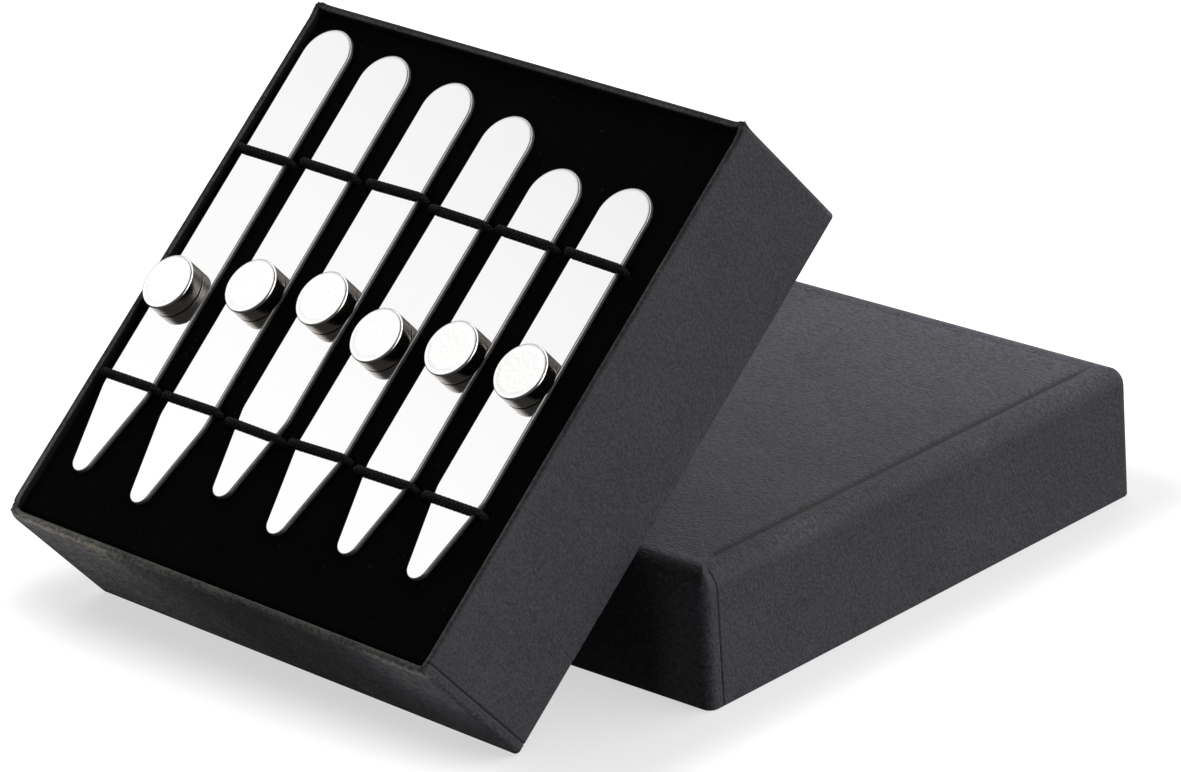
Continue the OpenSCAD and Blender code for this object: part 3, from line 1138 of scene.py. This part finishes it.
# %% Light the studio
DIM = 0.07
GROUND = 0.05
HORIZON = 0.05
# Each panel: its direction, the cosines where its light begins and is full, and its strength.
PANELS = {"behind the tray": ((-0.45, 0.80, 0.42), 0.80, 0.99, 1.07),
          "right of the camera": ((0.50, -0.82, 0.28), 0.50, 0.95, 2.2),
          "beyond the lid": ((0.80, 0.25, 0.55), 0.55, 0.95, 1.25)}

sky = Finish(bpy.data.worlds.new("studio"))
bpy.context.scene.world = sky.owner
towards = sky.node("TexCoord", {}, {}).out("Generated")
height = sky.node("SeparateXYZ", {}, {0: towards}).out("Z")
light = GROUND + (DIM - GROUND) * sky.ramp(height, -HORIZON, HORIZON)
for place, edge, middle, strength in PANELS.values():
    facing = sky.vector("DOT_PRODUCT", towards, Vector(place).normalized(), "Value")
    light = light + strength * sky.ramp(facing, edge, middle)
glow = sky.node("Background", {}, {"Color": (*grey(1), 1), "Strength": light})
sky.node("OutputWorld", {}, {"Surface": glow}, None)
print("studio:", ", ".join(PANELS))

# %% [markdown]
# ## Small cards
# The tray's front wall leans out over the floor, where no panel reaches, and the panels alone leave
# the lid's top even. So two small cards stand low beside the tray's ends and throw a little light
# back under it, and a third beyond the lid makes its far end lighter. Such cards would spill on all
# else, and in a studio they are masked off. Here each lamp is linked to the boards that it lights.

# %% Stand the cards
# Each card: where it stands, where it faces, its size, its power, its tint and what it lights.
CARDS = {"card_left": ((-84, 50, 8), (-66, 40, 12), 10, 0.0185, (1.0, 1.0, 0.86), (tray, lid)),
         "card_right": ((-79, -35, 6), (-67, -34, 10), 5, 0.0046, (1.0, 1.0, 0.90), (tray, lid)),
         "card_beyond": ((130, -30, 70), (50, -10, 20), 30, 0.175, (1.0, 1.0, 1.0), (lid,))}

for name, (stand, target, size, power, tint, lit) in CARDS.items():
    lit_boards = bpy.data.collections.new("lit by " + name)
    for board in lit:
        lit_boards.objects.link(board)
    lamp = bpy.data.lights.new(name, "AREA")
    lamp.color = tint
    lamp.shape = "DISK"
    lamp.size = size * MM
    lamp.energy = power
    card = bpy.data.objects.new(name, lamp)
    bpy.context.scene.collection.objects.link(card)
    facing = Vector(target) - Vector(stand)
    turned = facing.to_track_quat("-Z", "Y").to_matrix().to_4x4()
    card.matrix_world = Matrix.Translation(Vector(stand) * MM) @ turned
    card.visible_camera = False
    card.visible_glossy = False
    card.light_linking.receiver_collection = lit_boards
    print(name, "lights", ", ".join(board.name for board in lit))

# %% [markdown]
# ## The light table
# The floor is one white sheet on a light table. It is part of the studio and not of the object. A
# plain white floor needs so much light to look white that the box would turn grey. So its own glow
# makes it white in the picture, and a painted shadow dims that glow round the object's footprint.
# It throws no light back and is not seen in the steel, which keeps the undersides as dark as they
# are on the real box.

# %% Make the table glow
# Painted shadow: the glow is dim at the object's footprint and reaches full white further out.
FOOT_SETBACK = 19 * MM
GLOW_START = 3 * MM
GLOW_FULL = 20 * MM

sweep = Finish(bpy.data.materials.new("white_sweep"))
covered_low = Vector((cad_box[0][0] + FOOT_SETBACK, cad_box[0][1], 0))
covered_high = Vector((cad_box[1][0], cad_box[1][1], 0))
covered_half = (covered_high - covered_low) / 2
away = sweep.vector("SUBTRACT", sweep.place(), covered_low + covered_half)
away = sweep.vector("SUBTRACT", sweep.vector("ABSOLUTE", away), covered_half)
away = sweep.vector("MAXIMUM", away)
distance = sweep.vector("LENGTH", away, result="Value")
# Painted shadow: the floor's glow is dimmer near the object's footprint.
glow_with_painted_shadow = sweep.mixed(sweep.ramp(distance, GLOW_START, GLOW_FULL), grey(0.59), grey(0.97))
cloud = sweep.grain(sweep.place(), 0.004, 2.0)
white = sweep.mixed(cloud, grey(0.36), grey(0.38))
sweep.surface(Base_Color=white, Roughness=0.9, Emission_Color=glow_with_painted_shadow, Emission_Strength=1.0)

# %% Lay the floor
FLOOR_SIZE = 6.0
FLOOR_DROP = 0.02 * MM

half = FLOOR_SIZE / 2
corners = [(-half, -half), (half, -half), (half, half), (-half, half)]
mesh = bpy.data.meshes.new("floor")
mesh.from_pydata([(x, y, -FLOOR_DROP) for x, y in corners], [], [(0, 1, 2, 3)])
mesh.materials.append(sweep.owner)
floor = bpy.data.objects.new("floor", mesh)
bpy.context.scene.collection.objects.link(floor)
floor.visible_diffuse = False
floor.visible_glossy = False
bpy.context.scene.view_settings.view_transform = "Standard"
print("floor: %.0f m square" % FLOOR_SIZE)
